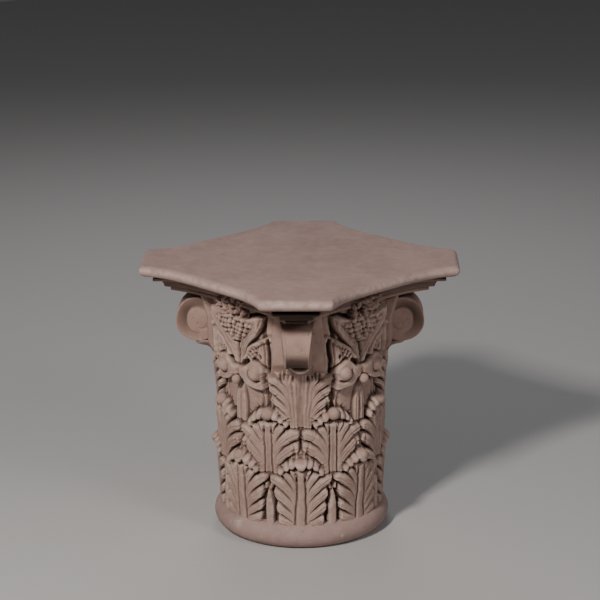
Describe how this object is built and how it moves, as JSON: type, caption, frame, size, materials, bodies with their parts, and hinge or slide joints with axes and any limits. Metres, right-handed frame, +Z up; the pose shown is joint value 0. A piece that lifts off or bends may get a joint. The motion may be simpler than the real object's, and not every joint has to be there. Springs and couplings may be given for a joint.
{
  "type": "column capital",
  "caption": "Column capital cast in stone: a leafy round bell on a base ring, with corner volutes, stepped moulding and a hollow-sided top slab.",
  "frame": {"origin": "centre of the flat underside of the base ring", "axes": "+Z up through the slab, the four sides look along X and Y, the corners lie on the diagonals"},
  "size_m": [0.443, 0.443, 0.452],
  "materials": {
    "stone": "matt, sandy cast stone"
  },
  "bodies": {
    "root": {"capital": "stone"}
  },
  "joints": []
}
